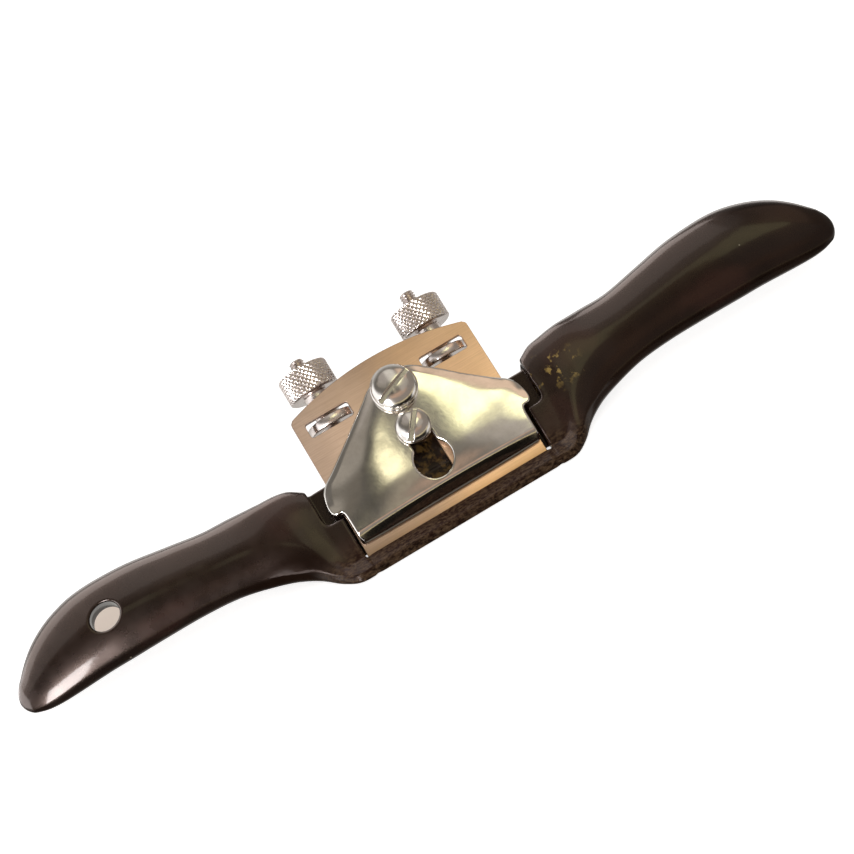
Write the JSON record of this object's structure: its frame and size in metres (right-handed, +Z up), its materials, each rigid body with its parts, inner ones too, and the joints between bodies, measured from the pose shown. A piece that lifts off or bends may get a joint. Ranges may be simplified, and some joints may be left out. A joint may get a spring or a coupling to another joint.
{
  "type": "spokeshave",
  "caption": "Flat-soled metal spokeshave with gull-wing handles, a straight cutter on a pitched bed, a keyhole lever cap and knurled depth adjusters on threaded studs.",
  "frame": {"origin": "on the sole, at the middle of the flat pad behind the mouth, halfway between the handles", "axes": "+X towards the plain handle (the handle with the hang hole is at -X), +Z up from the sole, -Y the front, where the toe and the lever cap are"},
  "size_m": [0.2502, 0.0548, 0.0392],
  "materials": {
    "enamelled_iron": "glossy warm black enamel over cast iron, slight orange peel",
    "blade_steel": "ground steel, grain across the blade",
    "plated_cap": "bright plating with a faint mottled haze",
    "plated_hardware": "bright nickel plating, turned and knurled"
  },
  "bodies": {
    "body": {"body_casting": "enamelled_iron", "stud_left": "plated_hardware", "stud_right": "plated_hardware"},
    "cutter": {"cutter": "blade_steel"},
    "nut_left": {"nut_left": "plated_hardware"},
    "nut_right": {"nut_right": "plated_hardware"},
    "lever_cap": {"lever_cap": "plated_cap"},
    "cap_screw": {"cap_screw": "plated_hardware"},
    "thumb_screw": {"thumb_screw": "plated_hardware"}
  },
  "joints": [
    {"name": "cutter_depth", "type": "slide", "parent": "body", "child": "cutter", "axis": [0, 0.7071, 0.7071], "range_m": [-0.0025, 0.0041]},
    {"name": "left_nut_spin", "type": "hinge", "parent": "cutter", "child": "nut_left", "pos_m": [-0.0172, 0.0185, 0.02284], "axis": [0, 0.7071, 0.7071], "range_deg": [-1080, 1800]},
    {"name": "right_nut_spin", "type": "hinge", "parent": "cutter", "child": "nut_right", "pos_m": [0.0176, 0.0185, 0.02284], "axis": [0, 0.7071, 0.7071], "range_deg": [-1090, 1810]},
    {"name": "lever_cap_slide", "type": "slide", "parent": "body", "child": "lever_cap", "axis": [0, 0.7071, 0.7071], "range_m": [0, 0.0097]},
    {"name": "thumb_screw_turn", "type": "hinge", "parent": "lever_cap", "child": "thumb_screw", "pos_m": [0.0006, 0.00789, 0.0292], "axis": [0, -0.7071, 0.7071], "range_deg": [-45, 720]},
    {"name": "cap_screw_turn", "type": "hinge", "parent": "body", "child": "cap_screw", "pos_m": [-0.00035, -0.00017, 0.02114], "axis": [0, -0.7071, 0.7071], "range_deg": [-30, 720]}
  ],
  "couplings": [
    {"joint": "right_nut_spin", "follows": "left_nut_spin", "ratio": 1},
    {"joint": "cutter_depth", "follows": "left_nut_spin", "m_per_rad": 0.00012732}
  ]
}
